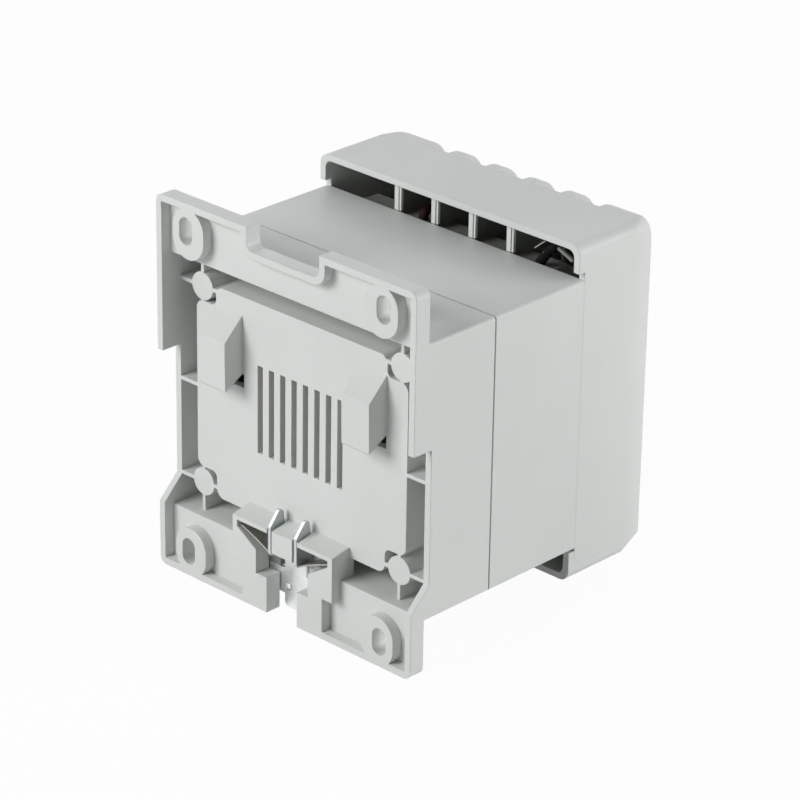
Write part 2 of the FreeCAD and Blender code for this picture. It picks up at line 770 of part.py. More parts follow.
def build_front_cover():
    """Cover with two hoods over the wire openings and recesses for the screwdriver."""
    body = new_body("front_cover")
    start = COVER_START - S.hood_overhang
    face = FACE_HALF
    pad(body, "block", "front", start, FRONT, rectangle(-HALF, HALF, HOOD_BOTTOM, HOOD_TOP))
    bevel = polygon(
        (HALF, BEVEL_START),
        (HALF + OVERCUT, BEVEL_START),
        (HALF + OVERCUT, FRONT + OVERCUT),
        (face, FRONT + OVERCUT),
        (face, FRONT),
    )
    cut(body, "side_bevels", "plan", HOOD_BOTTOM - OVERCUT, HOOD_TOP + OVERCUT, *both(bevel))
    round_edges(body, "top_front_round", S.top_round, "x", depth=(FRONT,), z=(HOOD_TOP,))
    round_edges(body, "bottom_front_round", S.bottom_round, "x", depth=(FRONT,), z=(HOOD_BOTTOM,))
    round_hood_edges(body)
    inner_top = HOOD_TOP - S.hood_wall
    inner_bottom = HOOD_BOTTOM + S.hood_wall
    inner_x = HALF - S.cover_wall
    room_end = RECESS_START - S.recess_rear_wall
    room = rectangle(-inner_x, inner_x, inner_bottom, inner_top)
    cut(body, "terminal_room", "front", start, room_end, room)
    inner_edges = (inner_bottom, inner_top)
    round_edges(body, "hood_inside", S.hood_inner_radius, "y", x=(inner_x,), z=inner_edges)
    floor_top = HOOD_TOP - S.recess_drop
    floor_bottom = HOOD_BOTTOM + S.recess_drop
    inner_face = face - S.cover_wall
    inner_front = FRONT - S.front_wall
    inner_bevel = BEVEL_START - S.cover_wall / 4
    front_room = polygon(
        (-inner_x, room_end - OVERCUT),
        (inner_x, room_end - OVERCUT),
        (inner_x, inner_bevel),
        (inner_face, inner_front),
        (-inner_face, inner_front),
        (-inner_x, inner_bevel),
    )
    cut(
        body,
        "front_room",
        "plan",
        floor_bottom + S.recess_floor,
        floor_top - S.recess_floor,
        front_room,
    )
    lip_low = S.body_bottom - S.hood_lip
    lip = rectangle(-HALF - OVERCUT, HALF + OVERCUT, lip_low, BODY_TOP + S.hood_lip)
    cut(body, "hood_edge", "front", start, COVER_START, lip)
    half_post = S.post_width / 2
    for name, low, high in (
        ("top", BODY_TOP + S.seam_gap, inner_top + OVERLAP),
        ("bottom", inner_bottom - OVERLAP, S.body_bottom - S.seam_gap),
    ):
        post = pad(
            body,
            f"{name}_post",
            "front",
            COVER_START,
            COVER_START + S.post_depth,
            rectangle(FIRST_POST - half_post, FIRST_POST + half_post, low, high),
        )
        repeat(body, f"{name}_posts", [post], S.pole_spacing, POSTS)
    half_recess = S.recess_width / 2
    half_driver = S.driver_hole / 2
    for name, inner, outer, hole in (
        ("top", floor_top, HOOD_TOP + OVERCUT, floor_top - S.recess_floor),
        ("bottom", floor_bottom, HOOD_BOTTOM - OVERCUT, floor_bottom + S.recess_floor),
    ):
        low, high = sorted((inner, outer), key=lambda size: size.number)
        recess = cut(
            body,
            f"{name}_recess",
            "front",
            RECESS_START,
            FRONT,
            rectangle(FIRST_POLE - half_recess, FIRST_POLE + half_recess, low, high),
        )
        driver = cut(
            body,
            f"{name}_driver_hole",
            "plan",
            hole,
            inner,
            rectangle(
                FIRST_POLE - half_driver,
                FIRST_POLE + half_driver,
                TERMINAL_SCREW - half_driver,
                TERMINAL_SCREW + half_driver,
            ),
        )
        repeat(body, f"{name}_recesses", [recess, driver], S.pole_spacing, S.pole_count)
    tongue_end = COVER_START + S.tongue_reach
    outer_x = INNER_X - S.seam_gap
    low = MIDDLE_Z - S.tongue_height / 2
    high = MIDDLE_Z + S.tongue_height / 2
    tongue = both(rectangle(outer_x - S.tongue_wall, outer_x, low, high))
    pad(body, "tongues", "front", COVER_START - S.tongue_reach, tongue_end, *tongue)
    root = both(rectangle(outer_x - S.tongue_wall, inner_x + OVERLAP, low, high))
    pad(body, "tongue_roots", "front", COVER_START + S.seam_gap, tongue_end, *root)
    return body


def round_hood_edges(body):
    """Round the corner that runs along each side of the hoods and down over the front."""
    DOC.recompute()
    base = body.Tip
    names = []
    for index, edge in enumerate(base.Shape.Edges, start=1):
        box = edge.BoundBox
        short = max(box.XLength, box.ZLength) < S.case_width.number / 4
        if short and box.YLength > 0.1:
            names.append(f"Edge{index}")
    fillet = body.newObject("PartDesign::Fillet", "hood_corners")
    fillet.Base = (base, names)
    fillet.setExpression("Radius", S.hood_radius.formula)


def build_rail_latch():
    """Bent sheet-metal slide whose two ears catch the rail's lower edge."""
    body = new_body("rail_latch")
    half = S.latch_width / 2
    foot = S.latch_foot_width / 2
    ear = S.ear_outer_x
    bottom = S.latch_bottom
    corner = S.latch_foot_corner
    top = CLIP_INNER_TOP - S.latch_top_gap
    right = (
        (foot - corner, bottom),
        (foot, bottom + corner),
        (foot, S.latch_foot_shoulder),
        (half, S.latch_foot_shoulder),
        (half, S.latch_shoulder),
        (ear, S.latch_shoulder),
        (ear, top),
    )
    left = tuple((-x, z) for x, z in reversed(right))
    hole = rectangle(
        -S.latch_hole_width / 2,
        S.latch_hole_width / 2,
        S.latch_hole_bottom,
        S.latch_hole_bottom + S.latch_hole_height,
    )
    pad(body, "slide", "front", LATCH_START, LATCH_END, polygon(*right, *left), hole)
    tip = S.ear_tip_depth
    profile = polygon(
        (0, S.ear_bottom),
        (0, S.ear_knee),
        (tip, S.ear_tip),
        (tip + S.ear_tip_width, S.ear_tip - S.ear_tip_slope),
        (LATCH_END, S.ear_knee - S.ear_knee_drop),
        (LATCH_END, S.ear_bottom),
    )
    leaf = SPRING_LOW
    window = rectangle(
        S.spring_start - S.spring_gap,
        S.spring_start + S.spring_width + S.spring_gap,
        leaf - S.spring_gap * 3,
        leaf + S.spring_leaf + S.spring_gap,
    )
    inner = ear - S.latch_sheet
    pad(body, "left_ear", "side", inner, ear, profile, window)
    pad(body, "right_ear", "side", -ear, -inner, profile, window)
    return body


SPRING_HIGH = S.clip_window_shoulder + S.spring_end_gap
SPRING_LOW = SPRING_HIGH - S.spring_sag


def build_latch_spring():
    """Bowed leaf spring that lies across the latch housing and lifts the latch."""
    body = new_body("latch_spring")
    end = S.clip_window_width / 2 - S.spring_end_gap
    centre = S.ear_outer_x + S.spring_flat
    leaf = S.spring_leaf
    right = (
        (centre, SPRING_LOW),
        (end, SPRING_HIGH),
        (end, SPRING_HIGH + leaf),
        (centre, SPRING_LOW + leaf),
    )
    left = tuple((-x, z) for x, z in reversed(right))
    loop = polygon(*right, *left)
    pad(body, "leaf", "front", S.spring_start, S.spring_start + S.spring_width, loop)
    return body


def build_core():
    """Laminated core: a stack of E plates with the stack of I plates closing it."""
    side = CORE_HALF - CORE_LEG
    leg = CORE_LEG
    e_stack = new_body("core_e_stack")
    right = (
        (CORE_HALF, CORE_LOW),
        (CORE_HALF, WINDOW_HIGH),
        (side, WINDOW_HIGH),
        (side, WINDOW_LOW),
        (leg, WINDOW_LOW),
        (leg, WINDOW_HIGH),
    )
    left = tuple((-x, z) for x, z in reversed(right))
    low_holes = both(circle(SCREW_X, SCREW_LOW, S.core_hole))
    pad(e_stack, "plates", "front", CORE_START, CORE_END, polygon(*right, *left), *low_holes)
    i_stack = new_body("core_i_stack")
    high_holes = both(circle(SCREW_X, SCREW_HIGH, S.core_hole))
    yoke = rectangle(-CORE_HALF, CORE_HALF, WINDOW_HIGH, CORE_HIGH)
    pad(i_stack, "plates", "front", CORE_START, CORE_END, yoke, *high_holes)


def coil_outline(offset):
    """Rectangle round the core's centre leg, grown by an offset, in the plan view."""
    half = CORE_LEG + offset
    return rectangle(-half, half, CORE_START - offset, CORE_END + offset)


def build_bobbin():
    """Plastic bobbin: a square tube on the centre leg with a flange at each end."""
    body = new_body("bobbin")
    low = WINDOW_LOW + S.bobbin_gap
    high = WINDOW_HIGH - S.bobbin_gap
    bore = coil_outline(S.bobbin_gap)
    tube = coil_outline(BOBBIN_BUILD)
    pad(body, "tube", "plan", low, high, tube, bore)
    half = CORE_HALF - CORE_LEG - S.bobbin_side_gap
    reach = COIL_BUILD + S.bobbin_flange_lip
    flange = rectangle(-half, half, CORE_START - reach, CORE_END + reach)
    pad(body, "lower_flange", "plan", low, low + S.bobbin_wall, flange, bore)
    pad(body, "upper_flange", "plan", high - S.bobbin_wall, high, flange, bore)


def build_windings():
    """Primary, insulation, secondary and tape, wound one over the other on the bobbin."""
    low = WINDOW_LOW + S.bobbin_gap + S.bobbin_wall + S.winding_gap
    high = WINDOW_HIGH - S.bobbin_gap - S.bobbin_wall - S.winding_gap
    inner = BOBBIN_BUILD
    inner_radius = None
    for label, build in (
        ("primary_winding", S.primary_build),
        ("winding_insulation", S.insulation_build),
        ("secondary_winding", SECONDARY_BUILD),
        ("winding_tape", S.tape_build),
    ):
        body = new_body(label)
        outer = inner + build
        if inner_radius is None:
            outer_radius = build * 4 / 5
        else:
            outer_radius = inner_radius + build
        pad(body, "turns", "plan", low, high, coil_outline(outer), coil_outline(inner))
        half = CORE_LEG
        round_edges(
            body,
            "outer_corners",
            outer_radius,
            "z",
            x=(half + outer,),
            depth=(CORE_START - outer, CORE_END + outer),
        )
        if inner_radius is not None:
            round_edges(
                body,
                "inner_corners",
                inner_radius,
                "z",
                x=(half + inner,),
                depth=(CORE_START - inner, CORE_END + inner),
            )
        inner = outer
        inner_radius = outer_radius


def build_housing_screws():
    """Four long screws that clamp the middle shell and the core to the base."""
    body = new_body("housing_screws")
    tip = S.pad_depth + S.screw_cap + S.screw_end_gap
    pad(body, "shanks", "front", tip, LUG_END, *screw_circles(S.screw_diameter))
    head_end = LUG_END + S.screw_head_height
    pad(body, "heads", "front", LUG_END, head_end, *screw_circles(S.screw_head))


def build_terminals(side, hood_inner, away):
    """One row of terminals. Heights are measured from the hood's inner face, going inward."""

    def height(drop):
        return hood_inner - drop if away > 0 else hood_inner + drop

    deck = S.recess_drop + S.recess_floor - S.hood_wall
    cage_low = deck + S.block_height - S.block_wall
    bar_low = cage_low - S.cage_floor
    bar_high = bar_low - S.bar_thickness
    cage_high = bar_low - S.cage_opening - S.cage_top
    block_low = deck + S.block_height
    cage_start = TERMINAL_SCREW - S.cage_length / 2
    cage_end = TERMINAL_SCREW + S.cage_length / 2
    pocket_start = cage_start - S.cage_gap
    wall_start = pocket_start - S.block_wall
    block_front = FRONT - S.front_wall
    block_rear = COVER_START + S.block_setback
    pole = FIRST_POLE

    block = new_body(f"terminal_block_{side}")
    half = S.pole_spacing * S.pole_count / 2 + S.post_width / 2
    profile = polygon(
        (block_rear, height(block_low)),
        (block_front, height(block_low)),
        (block_front, height(deck)),
        (wall_start, height(deck)),
        (wall_start, height(bar_high)),
        (block_rear + S.funnel_length, height(S.funnel_top)),
        (block_rear, height(S.funnel_top)),
    )
    pad(block, "moulding", "side", -half, half, profile)
    pocket_half = S.cage_width / 2 + S.cage_gap
    pocket = cut(
        block,
        "cage_pocket",
        "plan",
        height(deck),
        height(cage_low),
        rectangle(pole - pocket_half, pole + pocket_half, pocket_start, cage_end + S.cage_gap),
    )
    mouth_half = S.cage_width / 2 - S.cage_wall
    mouth = cut(
        block,
        "wire_mouth",
        "front",
        wall_start,
        pocket_start,
        rectangle(
            pole - mouth_half,
            pole + mouth_half,
            height(bar_low + S.tag_slit_run),
            height(bar_low - S.cage_opening),
        ),
    )
    leg_start = wall_start - S.bar_thickness - S.tag_gap
    slit_half = S.bar_width / 2 + S.tag_slit_gap
    slit = cut(
        block,
        "tag_slit",
        "plan",
        height(block_low),
        height(bar_high - S.bar_thickness * 2),
        rectangle(pole - slit_half, pole + slit_half, leg_start - S.tag_slit_run, wall_start),
    )
    repeat(block, "poles", [pocket, mouth, slit], S.pole_spacing, S.pole_count)
    divider = pad(
        block,
        "divider",
        "front",
        COVER_START + S.post_depth + S.seam_gap,
        RECESS_START - S.recess_rear_wall - S.divider_gap,
        rectangle(
            FIRST_POST - S.post_width / 2,
            FIRST_POST + S.post_width / 2,
            height(block_low),
            height(0),
        ),
    )
    repeat(block, "dividers", [divider], S.pole_spacing, POSTS)

    cages = new_body(f"clamp_cages_{side}")
    cage_half = S.cage_width / 2
    opening_half = cage_half - S.cage_wall
    frame = pad(
        cages,
        "frame",
        "front",
        cage_start,
        cage_end,
        rectangle(pole - cage_half, pole + cage_half, height(cage_low), height(cage_high)),
        rectangle(
            pole - opening_half,
            pole + opening_half,
            height(bar_low),
            height(bar_low - S.cage_opening),
        ),
    )
    thread = cut(
        cages,
        "thread",
        "plan",
        height(cage_high),
        height(cage_high + S.cage_top),
        circle(pole, TERMINAL_SCREW, S.terminal_screw + S.screw_fit),
    )
    repeat(cages, "poles", [frame, thread], S.pole_spacing, S.pole_count)

    bars = new_body(f"contact_bars_{side}")
    tail = height(block_low + S.bar_tail - S.block_wall - S.cage_floor)
    bar_half = S.bar_width / 2
    angle = pad(
        bars,
        "angle",
        "side",
        pole - bar_half,
        pole + bar_half,
        polygon(
            (leg_start, tail),
            (leg_start + S.bar_thickness, tail),
            (leg_start + S.bar_thickness, height(bar_low)),
            (cage_end, height(bar_low)),
            (cage_end, height(bar_high)),
            (leg_start, height(bar_high)),
        ),
    )
    repeat(bars, "poles", [angle], S.pole_spacing, S.pole_count)

    screws = new_body(f"terminal_screws_{side}")
    head_under = cage_high - S.head_drop
    head_top = head_under - S.terminal_head_height
    shank = pad(
        screws,
        "shank",
        "plan",
        height(head_under + S.terminal_shank),
        height(head_under),
        circle(pole, TERMINAL_SCREW, S.terminal_screw),
    )
    head = pad(
        screws,
        "head",
        "plan",
        height(head_under),
        height(head_top),
        circle(pole, TERMINAL_SCREW, S.terminal_head),
    )
    reach = S.terminal_head / 2 + S.driver_slot_run
    groove = cut(
        screws,
        "groove",
        "plan",
        height(head_top + S.terminal_head_height / 2),
        height(head_top),
        rectangle(
            pole - reach,
            pole + reach,
            TERMINAL_SCREW - S.driver_slot / 2,
            TERMINAL_SCREW + S.driver_slot / 2,
        ),
    )
    repeat(screws, "poles", [shank, head, groove], S.pole_spacing, S.pole_count)
    return tail, leg_start


def build_leads(label, tail, tag_rear, away, poles):
    """Insulated leads that run straight from the winding's front to the solder tags."""
    body = new_body(label)
    z = tail + S.lead_inset if away > 0 else tail - S.lead_inset
    leads = [circle(S.pole_spacing * pole, z, S.lead_diameter) for pole in poles]
    pad(body, "leads", "front", CORE_END + COIL_BUILD, tag_rear, *leads)


def check_document():
    """Stop if any object failed, or if a cut took nothing away."""
    for item in DOC.Objects:
        if "Invalid" in item.State or "Error" in item.State:
            raise RuntimeError(f"{item.Name} did not recompute: {item.State}")
        if item.TypeId == "PartDesign::Pocket":
            before = item.BaseFeature.Shape.Volume
            if item.Shape.Volume > before - 1e-6:
                raise RuntimeError(f"{item.Name} cuts nothing")
    for item in PARTS:
        if item.Shape.isNull() or not item.Shape.isValid():
            raise RuntimeError(f"{item.Label} has no valid shape")


build_base_shell()
build_middle_shell()
build_front_cover()
build_rail_latch()
build_latch_spring()
build_core()
build_bobbin()
build_windings()
build_housing_screws()
top_tail, tag_rear = build_terminals("top", HOOD_TOP - S.hood_wall, 1)
bottom_tail, tag_rear = build_terminals("bottom", HOOD_BOTTOM + S.hood_wall, -1)
build_leads("primary_leads", top_tail, tag_rear, 1, (-1, 0, 1))
build_leads("secondary_leads", bottom_tail, tag_rear, -1, (-1, 1))
DOC.recompute()
check_document()

os.makedirs("parts", exist_ok=True)
for part in PARTS:
    part.Shape.exportStep(f"parts/{part.Label}.step")
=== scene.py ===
import json
import math

import bmesh
import bpy
from mathutils import Matrix, Vector
from mathutils.geometry import tessellate_polygon


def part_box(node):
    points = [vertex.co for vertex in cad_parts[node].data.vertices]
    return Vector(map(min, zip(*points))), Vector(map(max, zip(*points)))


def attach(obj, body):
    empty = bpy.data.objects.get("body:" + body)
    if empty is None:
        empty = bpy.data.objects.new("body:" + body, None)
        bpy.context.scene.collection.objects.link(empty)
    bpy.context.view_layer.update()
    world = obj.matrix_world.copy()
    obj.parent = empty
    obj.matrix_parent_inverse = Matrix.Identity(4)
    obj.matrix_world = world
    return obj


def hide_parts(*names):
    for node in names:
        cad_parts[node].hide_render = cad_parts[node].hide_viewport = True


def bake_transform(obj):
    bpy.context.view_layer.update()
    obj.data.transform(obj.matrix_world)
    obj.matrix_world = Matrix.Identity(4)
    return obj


# Looks of the transformer: finishes, edge softening, studio and camera.
# Lengths are in metres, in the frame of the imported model: +Z up, the rail side facing +Y.

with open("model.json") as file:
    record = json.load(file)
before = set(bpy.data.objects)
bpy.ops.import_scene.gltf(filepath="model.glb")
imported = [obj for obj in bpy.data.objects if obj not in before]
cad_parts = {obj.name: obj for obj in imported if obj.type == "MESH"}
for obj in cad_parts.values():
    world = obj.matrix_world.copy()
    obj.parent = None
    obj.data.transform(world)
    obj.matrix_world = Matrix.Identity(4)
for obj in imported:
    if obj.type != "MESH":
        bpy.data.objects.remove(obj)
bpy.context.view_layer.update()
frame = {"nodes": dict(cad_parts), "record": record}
NODES = frame["nodes"]

# Edges: how far they look rounded, the angle past which an edge counts as sharp, and the
# distance within which points of a node's mesh are taken as one
MOULDED_EDGE = 0.0003
METAL_EDGE = 0.00015
SHARP_ANGLE = math.radians(32)
WELD_DISTANCE = 0.000004

# Frame Y of the flange's rear rim, from which depths are measured forward
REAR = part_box("base_shell")[1][1]

# Light: strength of the world, how white the floor shows, and the point that the lamps face
WORLD_LEVEL = 0.06
FLOOR_WHITE = 0.96
FLOOR_HALF = 3.0
LAMP_TARGET = (0, 0, 0.05)

# Camera, worked out from the housing's straight edges
CAMERA_PLACE = (-0.57968, 0.61383, 0.43511)
CAMERA_RIGHT = (-0.7202311, -0.6935704, 0.01507522)
CAMERA_UP = (0.30054879, -0.29236909, 0.90784951)
CAMERA_LENS = 167.04


# Shader building

class Shader:
    """A node material that is built up call by call."""

    def __init__(self, name, edge=0.0):
        self.material = bpy.data.materials.new(name)
        self.material.use_nodes = True
        self.tree = self.material.node_tree
        self.tree.nodes.clear()
        self.output = self.add("ShaderNodeOutputMaterial")
        self.surface = self.add("ShaderNodeBsdfPrincipled")
        self.link(self.surface.outputs[0], self.output.inputs["Surface"])
        self.place = self.add("ShaderNodeTexCoord").outputs["Object"]
        self.edge = None
        if edge:
            rounded = self.add("ShaderNodeBevel", samples=6)
            rounded.inputs["Radius"].default_value = edge
            self.edge = rounded.outputs["Normal"]

    def add(self, kind, **settings):
        node = self.tree.nodes.new(kind)
        for name, value in settings.items():
            setattr(node, name, value)
        return node

    def link(self, source, target):
        self.tree.links.new(source, target)

    def set(self, **values):
        """Plain values on the principled shader, named as its sockets with _ for spaces."""
        for name, value in values.items():
            self.surface.inputs[name.replace("_", " ")].default_value = value

    def noise(self, scale, detail=2.0, rough=0.5, stretch=None):
        """Noise over the object, scale in bumps per metre, stretched along its axes."""
        node = self.add("ShaderNodeTexNoise")
        node.inputs["Scale"].default_value = scale
        node.inputs["Detail"].default_value = detail
        node.inputs["Roughness"].default_value = rough
        place = self.place
        if stretch:
            mapping = self.add("ShaderNodeMapping")
            mapping.inputs["Scale"].default_value = stretch
            self.link(place, mapping.inputs["Vector"])
            place = mapping.outputs[0]
        self.link(place, node.inputs["Vector"])
        return node.outputs["Fac"]

    def ramp(self, source, stops):
        """Values or colours along a source. Each stop is (position, colour)."""
        node = self.add("ShaderNodeValToRGB")
        elements = node.color_ramp.elements
        while len(elements) < len(stops):
            elements.new(0.5)
        for element, (position, colour) in zip(elements, stops):
            element.position = position
            if isinstance(colour, (int, float)):
                colour = (colour, colour, colour)
            element.color = (*colour, 1.0)
        self.link(source, node.inputs["Fac"])
        return node.outputs["Color"]

    def mix(self, factor, first, second, blend="MIX"):
        """Mix two colours. Each may be a socket or a plain colour."""
        node = self.add("ShaderNodeMix", data_type="RGBA", blend_type=blend)
        for socket, value in ((0, factor), (6, first), (7, second)):
            if hasattr(value, "links"):
                self.link(value, node.inputs[socket])
            elif isinstance(value, (int, float)):
                node.inputs[socket].default_value = value
            else:
                node.inputs[socket].default_value = (*value, 1.0)
        return node.outputs[2]

    def bump(self, height, depth, strength=1.0, below=None):
        """Bump of this depth in metres, over the bump below it."""
        node = self.add("ShaderNodeBump")
        node.inputs["Strength"].default_value = strength
        node.inputs["Distance"].default_value = depth
        self.link(height, node.inputs["Height"])
        below = below or self.edge
        if below is not None:
            self.link(below, node.inputs["Normal"])
        return node.outputs["Normal"]

    def finish(self, colour=None, roughness=None, normal=None):
        for source, name in ((colour, "Base Color"), (roughness, "Roughness"), (normal, "Normal")):
            if source is not None:
                self.link(source, self.surface.inputs[name])
        return self.material


def specks(shader, scale, size):
    """Sparse round specks, white on black."""
    node = shader.add("ShaderNodeTexVoronoi", feature="F1")
    node.inputs["Scale"].default_value = scale
    node.inputs["Randomness"].default_value = 1.0
    shader.link(shader.place, node.inputs["Vector"])
    dots = shader.ramp(node.outputs["Distance"], [(0.0, 1.0), (size, 1.0), (size * 1.6, 0.0)])
    patches = shader.ramp(shader.noise(38, 1.0), [(0.52, 0.0), (0.62, 1.0)])
    return shader.mix(1.0, dots, patches, "MULTIPLY")


def moulded_plastic(name, colour, roughness, mottle=0.03, speck=0.25, shine=0.42):
    """Moulded plastic: eroded-mould grain, faint flow mottling, a few specks and scuffs."""
    shader = Shader(name, MOULDED_EDGE)
    shade = tuple(value * (1 - mottle) for value in colour)
    light = tuple(min(1.0, value * (1 + mottle)) for value in colour)
    flow = shader.noise(22, 3.0, 0.55, stretch=(1.0, 1.0, 0.6))
    base = shader.ramp(flow, [(0.3, shade), (0.7, light)])
    dark = tuple(value * 0.45 for value in colour)
    dots = specks(shader, 260, 0.045)
    base = shader.mix(shader.mix(1.0, dots, (speck,) * 3, "MULTIPLY"), base, dark)
    scuffs = shader.noise(140, 4.0, 0.6, stretch=(1.0, 1.0, 0.25))
    gloss = shader.ramp(scuffs, [(0.35, roughness - 0.05), (0.7, roughness + 0.06)])
    grain = shader.bump(shader.noise(4200, 1.0), 0.000012, 0.5)
    waves = shader.bump(shader.noise(60, 1.0), 0.00003, 0.15, below=grain)
    shader.set(IOR=1.49, Specular_IOR_Level=shine)
    return shader.finish(base, gloss, waves)


def plated_metal(name, colour, roughness, streak=(1.0, 1.0, 0.08)):
    """Plated sheet metal: fine rolling streaks and a cloudy plated bloom."""
    shader = Shader(name, METAL_EDGE)
    bloom = shader.noise(420, 4.0, 0.6)
    dull = tuple(value * 0.92 for value in colour)
    base = shader.ramp(bloom, [(0.35, dull), (0.65, colour)])
    streaks = shader.noise(2600, 3.0, 0.6, stretch=streak)
    gloss = shader.ramp(streaks, [(0.3, roughness - 0.04), (0.7, roughness + 0.06)])
    normal = shader.bump(streaks, 0.000004, 0.25)
    shader.set(Metallic=1.0)
    return shader.finish(base, gloss, normal)


def spring_strip(name, face, edge, roughness):
    """Dark oiled strip whose sheared edges, which face along Y, are bright."""
    shader = Shader(name, METAL_EDGE)
    facing = shader.add("ShaderNodeSeparateXYZ")
    shader.link(shader.add("ShaderNodeTexCoord").outputs["Normal"], facing.inputs[0])
    level = shader.add("ShaderNodeMath", operation="ABSOLUTE")
    shader.link(facing.outputs["Y"], level.inputs[0])
    sheared = shader.ramp(level.outputs[0], [(0.6, 0.0), (0.85, 1.0)])
    oil = shader.noise(500, 3.0, 0.6)
    clean = tuple(value * 1.3 for value in face)
    base = shader.mix(sheared, shader.ramp(oil, [(0.35, face), (0.65, clean)]), edge)
    gloss = shader.ramp(oil, [(0.3, roughness - 0.04), (0.7, roughness + 0.06)])
    shader.set(Metallic=1.0)
    return shader.finish(base, gloss, shader.bump(oil, 0.000004, 0.25))


def laminated_steel(name):
    """Stack of core plates: thin lines across the stack, varnished."""
    shader = Shader(name)
    wave = shader.add("ShaderNodeTexWave", wave_type="BANDS", bands_direction="Y")
    wave.inputs["Scale"].default_value = 320
    shader.link(shader.place, wave.inputs["Vector"])
    lines = wave.outputs["Fac"]
    base = shader.ramp(lines, [(0.0, (0.05, 0.05, 0.052)), (0.5, (0.24, 0.24, 0.25))])
    stain = shader.noise(160, 4.0, 0.6)
    rust = shader.ramp(stain, [(0.55, (0.2, 0.2, 0.21)), (0.75, (0.16, 0.09, 0.05))])
    base = shader.mix(0.35, base, rust)
    shader.set(Metallic=0.7, Roughness=0.45)
    return shader.finish(base, None, shader.bump(lines, 0.0001, 0.6))


def wound_copper(name):
    """Enamelled wire wound round the coil's upright axis."""
    shader = Shader(name)
    wave = shader.add("ShaderNodeTexWave", wave_type="BANDS", bands_direction="Z")
    wave.inputs["Scale"].default_value = 190
    shader.link(shader.place, wave.inputs["Vector"])
    turns = wave.outputs["Fac"]
    base = shader.ramp(turns, [(0.0, (0.2, 0.06, 0.02)), (0.6, (0.75, 0.33, 0.15))])
    shader.set(Metallic=0.85, Roughness=0.3, Coat_Weight=0.4)
    return shader.finish(base, None, shader.bump(turns, 0.0002, 0.8))


def tape_film(name):
    """Dark amber polyester film with the edge lines of its layers."""
    shader = Shader(name)
    layers = shader.noise(90, 3.0, 0.6, stretch=(0.2, 0.2, 6.0))
    base = shader.ramp(layers, [(0.3, (0.11, 0.085, 0.04)), (0.7, (0.2, 0.16, 0.08))])
    gloss = shader.ramp(shader.noise(300, 2.0), [(0.3, 0.18), (0.7, 0.32)])
    return shader.finish(base, gloss, shader.bump(layers, 0.0001, 0.5))


LIGHT_GREY = (0.672, 0.69, 0.672)
DARK_GREY = (0.19, 0.198, 0.185)
ZINC = (0.82, 0.845, 0.84)
# Darker copy of the zinc for the latch's ears: painted shade that damps their glare
SHADED_ZINC = (0.58, 0.61, 0.61)
OILED_FACE = (0.33, 0.32, 0.29)
SHEARED_EDGE = (0.38, 0.39, 0.38)

FINISHES = {
    "housing_plastic": lambda: moulded_plastic("light_grey_plastic", LIGHT_GREY, 0.49),
    "terminal_plastic": lambda: moulded_plastic("dark_plastic", DARK_GREY, 0.45, 0.12),
    "bobbin_plastic": lambda: moulded_plastic("bobbin_plastic", (0.02, 0.02, 0.02), 0.5, 0.12),
    "zinc_steel": lambda: plated_metal("zinc_plate", ZINC, 0.36),
    "spring_steel": lambda: spring_strip("spring_steel", OILED_FACE, SHEARED_EDGE, 0.42),
    "tinned_brass": lambda: plated_metal("tin_plate", (0.7, 0.69, 0.64), 0.3),
    "core_steel": lambda: laminated_steel("core_plates"),
    "copper_wire": lambda: wound_copper("copper_turns"),
    "insulation_film": lambda: tape_film("insulation_film"),
    "lead_insulation": lambda: moulded_plastic("lead_sleeve", (0.03, 0.03, 0.034), 0.4, 0.1),
}


def shade_by_angle(piece):
    """Smooth the round faces and keep the flat ones flat, up to every sharp edge."""
    piece.data.polygons.foreach_set("use_smooth", [True] * len(piece.data.polygons))
    weld = piece.modifiers.new("weld", "WELD")
    weld.merge_threshold = WELD_DISTANCE
    split = piece.modifiers.new("sharp_edges", "EDGE_SPLIT")
    split.split_angle = SHARP_ANGLE
    split.use_edge_sharp = False
    flat = piece.modifiers.new("flat_faces", "WEIGHTED_NORMAL")
    flat.mode = "FACE_AREA"
    flat.weight = 90


def dress_nodes():
    """Give every node its finish and its shading."""
    for entry in frame["record"]["subparts"]:
        piece = NODES[entry["node"]]
        piece.data.materials.clear()
        piece.data.materials.append(finishes[entry["material_slot"]])
        shade_by_angle(piece)


# Added pieces. Their sizes are in millimetres: across X, depth from the rear rim, height Z.

MM = 0.001

# Rail latch: thickness of its sheet, plate's rear face, ears' inner faces
SHEET = 0.85
PLATE_DEPTH = 4.85
EAR_INNER = 4.1

# Leaf spring: where each half leaves the flat middle, its reach, rise and bow, and its section
LEAF_ROOT = 4.9
LEAF_REACH = 10.6
LEAF_RISE = 4.4
LEAF_BOW = 0.25
LEAF_LOW = 15.95
LEAF_THICK = 0.45
LEAF_FRONT = 4.8
LEAF_STEPS = 20

# Front cover: depth at which its hoods start, how far they overhang the body, spacing of the poles
HOOD_START = 56.8
HOOD_OVERHANG = 2.3
POLE_SPACING = 12.7
POSTS = 4

# Radius of the leads glimpsed in the wire openings
LEAD_RADIUS = 1.25


def prism(along, start, end, outline, *holes):
    """Solid between two equal outlines, (across, height) along depth or (depth, height) across."""
    loops = [outline, *holes]
    points = [point for loop in loops for point in loop]
    caps = tessellate_polygon([[Vector((a, b, 0)) for a, b in loop] for loop in loops])
    if along == "depth":
        near, far = ([(a, level, b) for a, b in points] for level in (start, end))
    else:
        near, far = ([(level, a, b) for a, b in points] for level in (start, end))
    count = len(points)
    faces = [list(cap) for cap in caps]
    faces += [[index + count for index in cap] for cap in caps]
    first = 0
    for loop in loops:
        for step in range(len(loop)):
            a = first + step
            b = first + (step + 1) % len(loop)
            faces.append([a, b, b + count, a + count])
        first += len(loop)
    return near + far, faces


